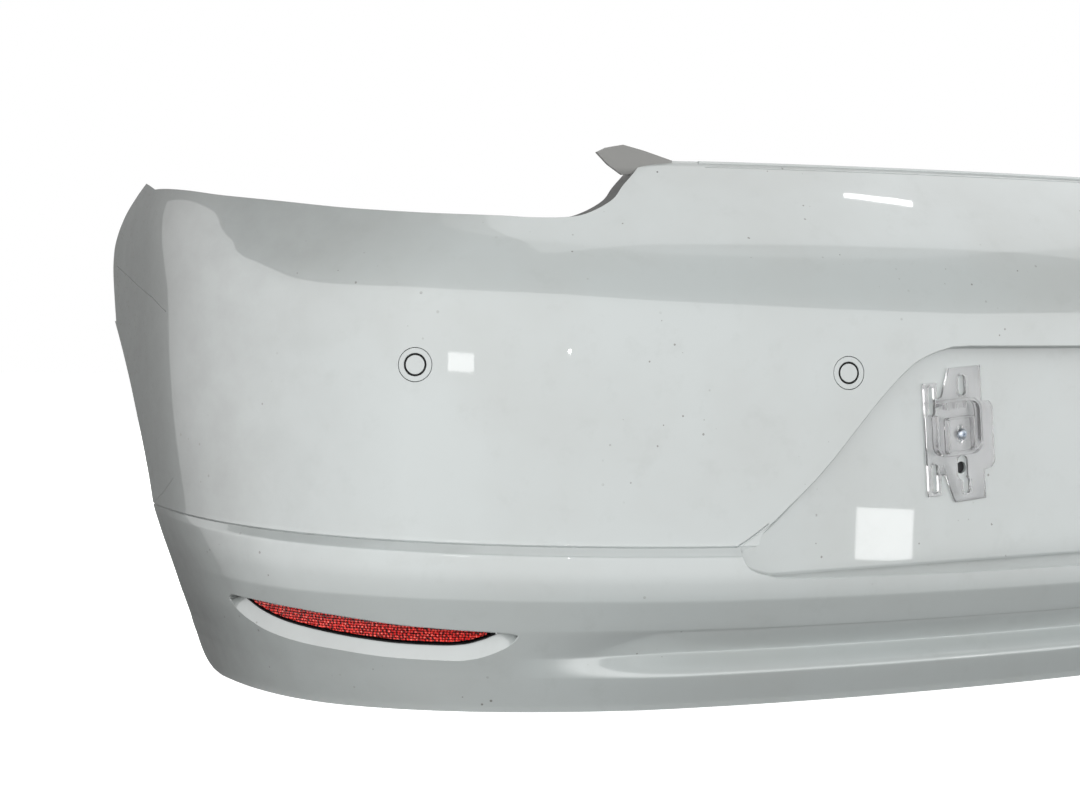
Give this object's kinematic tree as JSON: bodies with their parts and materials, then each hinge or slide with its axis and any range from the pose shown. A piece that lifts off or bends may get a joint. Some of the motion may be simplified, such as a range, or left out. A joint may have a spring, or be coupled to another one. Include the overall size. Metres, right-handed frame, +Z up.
{
  "type": "rear bumper cover",
  "caption": "Painted rear bumper cover with wrap-round corners, plate recess, red reflectors, parking sensors, clear plate brackets and a tilting tow-eye cover.",
  "frame": {"origin": "middle of the bounding box in plan, on the plane of the lower edge", "axes": "+X to the right as seen from behind the car, -Y towards the viewer of the painted side, +Z up"},
  "size_m": [1.7844, 0.5642, 0.523],
  "materials": {
    "paint": "glossy white paint under clear coat on moulded plastic, with fine dust and small chips",
    "sensor_body": "painted sensor face, dark moulded body behind",
    "raw_plastic": "unpainted dark grey moulded plastic",
    "black_plastic": "satin black moulded plastic",
    "silicone": "matt black silicone",
    "red_lens": "red prismatic reflector lens",
    "clear_plastic": "clear moulded plastic",
    "zinc": "bright zinc plate",
    "spring_steel": "dull phosphated spring steel"
  },
  "bodies": {
    "cover": {"bumper_cover": "paint", "reflector_housing_left": "black_plastic", "reflector_lens_left": "red_lens", "reflector_housing_right": "black_plastic", "reflector_lens_right": "red_lens", "sensor_holder_outer_left": "paint", "decoupling_ring_outer_left": "silicone", "parking_sensor_outer_left": "sensor_body", "sensor_holder_inner_left": "paint", "decoupling_ring_inner_left": "silicone", "parking_sensor_inner_left": "sensor_body", "sensor_holder_inner_right": "paint", "decoupling_ring_inner_right": "silicone", "parking_sensor_inner_right": "sensor_body", "sensor_holder_outer_right": "paint", "decoupling_ring_outer_right": "silicone", "parking_sensor_outer_right": "sensor_body", "plate_screw_left": "zinc", "plate_nut_left": "raw_plastic", "plate_screw_right": "zinc", "plate_nut_right": "raw_plastic", "tow_eye_sleeve": "raw_plastic", "arch_clip_lower_left": "spring_steel", "arch_clip_upper_left": "spring_steel", "arch_clip_lower_right": "spring_steel", "arch_clip_upper_right": "spring_steel"},
    "left_plate_bracket": {"plate_bracket_left": "clear_plastic"},
    "right_plate_bracket": {"plate_bracket_right": "clear_plastic"},
    "tow_cover": {"tow_eye_cover": "paint"}
  },
  "joints": [
    {"name": "tow_cover_tilt", "type": "hinge", "parent": "cover", "child": "tow_cover", "pos_m": [0.54922, -0.18356, 0.20975], "axis": [0.9455, 0.3255, 0], "range_deg": [0, 40]},
    {"name": "left_bracket_slide", "type": "slide", "parent": "cover", "child": "left_plate_bracket", "axis": [-0.0872, 0, 0.9962], "range_m": [-0.006, 0.006]},
    {"name": "right_bracket_slide", "type": "slide", "parent": "cover", "child": "right_plate_bracket", "axis": [0.0872, 0, 0.9962], "range_m": [-0.006, 0.006]}
  ]
}
